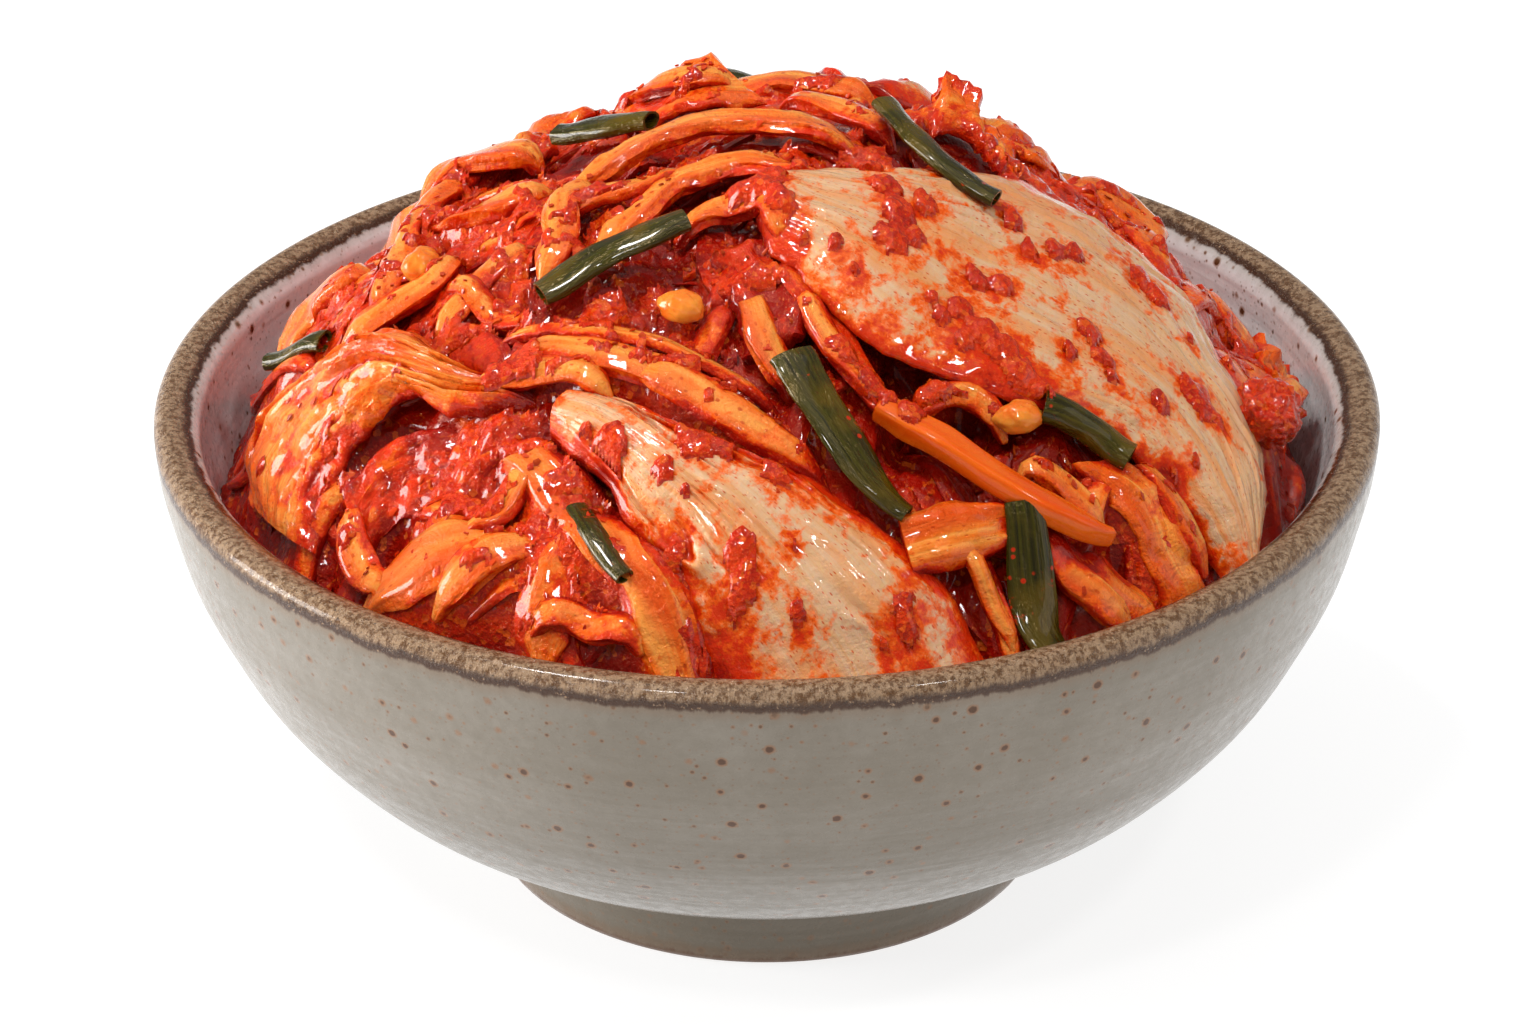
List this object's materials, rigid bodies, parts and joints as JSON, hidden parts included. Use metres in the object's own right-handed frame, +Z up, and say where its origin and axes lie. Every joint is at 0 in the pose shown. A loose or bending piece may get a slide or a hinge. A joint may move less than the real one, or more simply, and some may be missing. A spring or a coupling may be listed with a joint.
{
  "type": "bowl of kimchi",
  "caption": "Napa cabbage kimchi heaped above the rim of a footed, speckled stoneware bowl, with cabbage ribs, leaves, a carrot strip and scallion pieces laid on the chilli paste",
  "frame": {"origin": "on the table, under the middle of the bowl's foot", "axes": "+Z up; -Y is the side that the pale front rib and the carrot strip lie on; +X is to the right of it"},
  "size_m": [0.16, 0.16, 0.1055],
  "materials": {
    "stoneware": "satin glaze, iron speckles, brown rim and foot",
    "chilli_paste": null,
    "cabbage_rib": null,
    "cabbage_leaf": null,
    "carrot": null,
    "scallion": null,
    "nut": null
  },
  "bodies": {
    "root": {"bowl": "stoneware", "kimchi_heap": "chilli_paste", "leaf_back_left": "cabbage_leaf", "leaf_back": "cabbage_leaf", "rib_back": "cabbage_rib", "leaf_back_right": "cabbage_leaf", "strip_far_left": "cabbage_leaf", "strip_left_high": "cabbage_leaf", "strip_left_low": "cabbage_leaf", "leaf_lower_left": "cabbage_leaf", "strip_low_1": "cabbage_leaf", "strip_low_2": "cabbage_leaf", "strip_low_3": "cabbage_leaf", "strip_low_4": "cabbage_leaf", "strip_right_1": "cabbage_leaf", "strip_right_2": "cabbage_leaf", "leaf_lower_right": "cabbage_leaf", "strip_middle_1": "cabbage_leaf", "strip_middle_2": "cabbage_leaf", "rib_front": "cabbage_rib", "leaf_left": "cabbage_leaf", "leaf_middle": "cabbage_leaf", "strip_curved": "cabbage_leaf", "strip_fold": "cabbage_leaf", "rib_right": "cabbage_rib", "strip_right_high": "cabbage_leaf", "leaf_right_edge": "cabbage_leaf", "strip_top_1": "cabbage_leaf", "strip_top_2": "cabbage_leaf", "leaf_peak": "cabbage_leaf", "leaf_crest": "cabbage_leaf", "strip_crest": "cabbage_leaf", "strip_back_1": "cabbage_leaf", "carrot_strip": "carrot", "scallion_1": "scallion", "scallion_2": "scallion", "scallion_3": "scallion", "scallion_4": "scallion", "scallion_5": "scallion", "scallion_6": "scallion", "scallion_7": "scallion", "scallion_8": "scallion", "scallion_9": "scallion", "nut_1": "nut", "nut_2": "nut", "nut_3": "nut", "paste_lump": "chilli_paste"}
  },
  "joints": []
}
